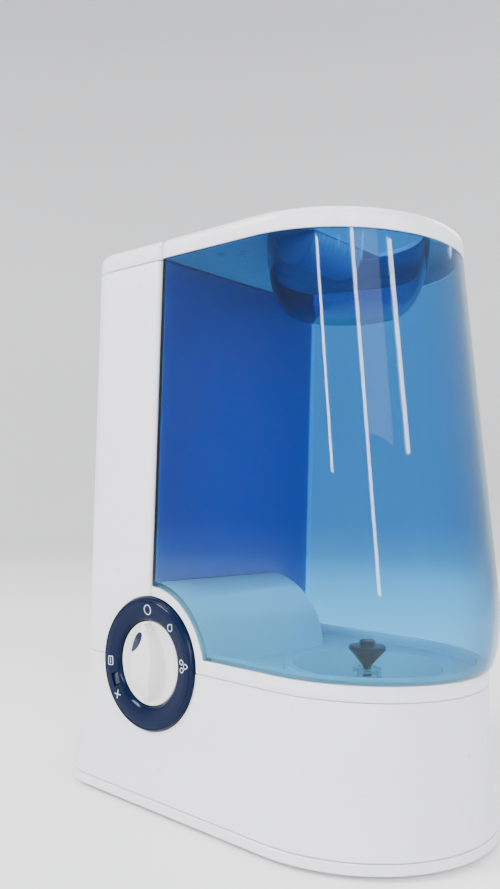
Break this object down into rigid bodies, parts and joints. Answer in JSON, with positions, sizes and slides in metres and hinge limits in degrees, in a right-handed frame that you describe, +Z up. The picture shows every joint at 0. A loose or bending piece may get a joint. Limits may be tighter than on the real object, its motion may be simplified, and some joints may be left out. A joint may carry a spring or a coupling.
{
  "type": "steam room humidifier",
  "caption": "Tabletop steam humidifier: white tower and base, lift-off translucent blue water tank with a hand well, and a rotary dial.",
  "frame": {"origin": "middle of the footprint, on the surface that the rubber feet stand on", "axes": "+Z up; the dial's face looks along -Y; +X runs from the steam tower to the water tank"},
  "size_m": [0.244, 0.156, 0.32],
  "materials": {
    "white_plastic": "satin white moulding",
    "blue_clear_plastic": "translucent blue moulding",
    "navy_plastic": "gloss navy",
    "dark_plastic": "moulded",
    "soft_rubber": "matt",
    "silicone": "matt, pale",
    "steel": "drawn and brushed",
    "aluminium": "cast",
    "brass": "plain",
    "circuit_board": "solder mask",
    "clear_plastic": "clear"
  },
  "bodies": {
    "root": {"bottom_plate": "white_plastic", "rubber_foot_1": "soft_rubber", "rubber_foot_2": "soft_rubber", "rubber_foot_3": "soft_rubber", "rubber_foot_4": "soft_rubber", "plate_screw_1": "steel", "plate_screw_2": "steel", "plate_screw_3": "steel", "plate_screw_4": "steel", "lower_housing": "white_plastic", "water_tray": "white_plastic", "valve_pin": "white_plastic", "feed_tube": "silicone", "dial_housing": "white_plastic", "dial_ring": "navy_plastic", "light_window": "dark_plastic", "indicator_lamp": "clear_plastic", "rotary_switch": "dark_plastic", "control_board": "circuit_board", "terminal_block": "dark_plastic", "power_relay": "dark_plastic", "board_post_1": "white_plastic", "board_post_2": "white_plastic", "cord_gland": "soft_rubber", "boiling_cup": "steel", "heater_block": "aluminium", "heater_tab_1": "brass", "heater_tab_2": "brass", "thermostat": "steel", "thermal_fuse": "steel", "chamber_seal": "silicone", "lead_1": "soft_rubber", "lead_2": "soft_rubber", "lead_3": "soft_rubber"},
    "tower": {"tower_shell": "white_plastic", "tower_cap": "white_plastic", "outlet_grille": "white_plastic", "steam_duct": "white_plastic"},
    "cup": {"medicine_cup": "white_plastic"},
    "tank": {"tank_shell": "blue_clear_plastic", "tank_cover": "white_plastic", "handle_well": "blue_clear_plastic", "handle_grip": "white_plastic"},
    "filler_cap": {"tank_cap": "white_plastic", "cap_gasket": "silicone", "valve_sleeve": "clear_plastic", "valve_spring": "steel"},
    "valve": {"valve_plunger": "dark_plastic"},
    "knob": {"control_knob": "white_plastic", "knob_lens": "navy_plastic", "switch_shaft": "brass"}
  },
  "joints": [
    {"name": "knob_turn", "type": "hinge", "parent": "root", "child": "knob", "pos_m": [-0.046, -0.0715, 0.078], "axis": [0, 1, 0], "range_deg": [-120, 84]},
    {"name": "tank_lift", "type": "slide", "parent": "root", "child": "tank", "axis": [0, 0, 1], "range_m": [0, 0.12]},
    {"name": "tower_lift", "type": "slide", "parent": "root", "child": "tower", "axis": [0, 0, 1], "range_m": [0, 0.06]},
    {"name": "cup_lift", "type": "slide", "parent": "tower", "child": "cup", "axis": [0, 0, 1], "range_m": [0, 0.02]},
    {"name": "filler_cap_turn", "type": "hinge", "parent": "tank", "child": "filler_cap", "pos_m": [0.056, -0.006, 0.07], "axis": [0, 0, 1], "range_deg": [-60, 0]},
    {"name": "valve_travel", "type": "slide", "parent": "filler_cap", "child": "valve", "axis": [0, 0, 1], "range_m": [-0.003, 0], "deforming": ["valve_spring"]}
  ],
  "couplings": [
    {"joint": "valve_travel", "follows": "tank_lift", "ratio": -0.025}
  ]
}
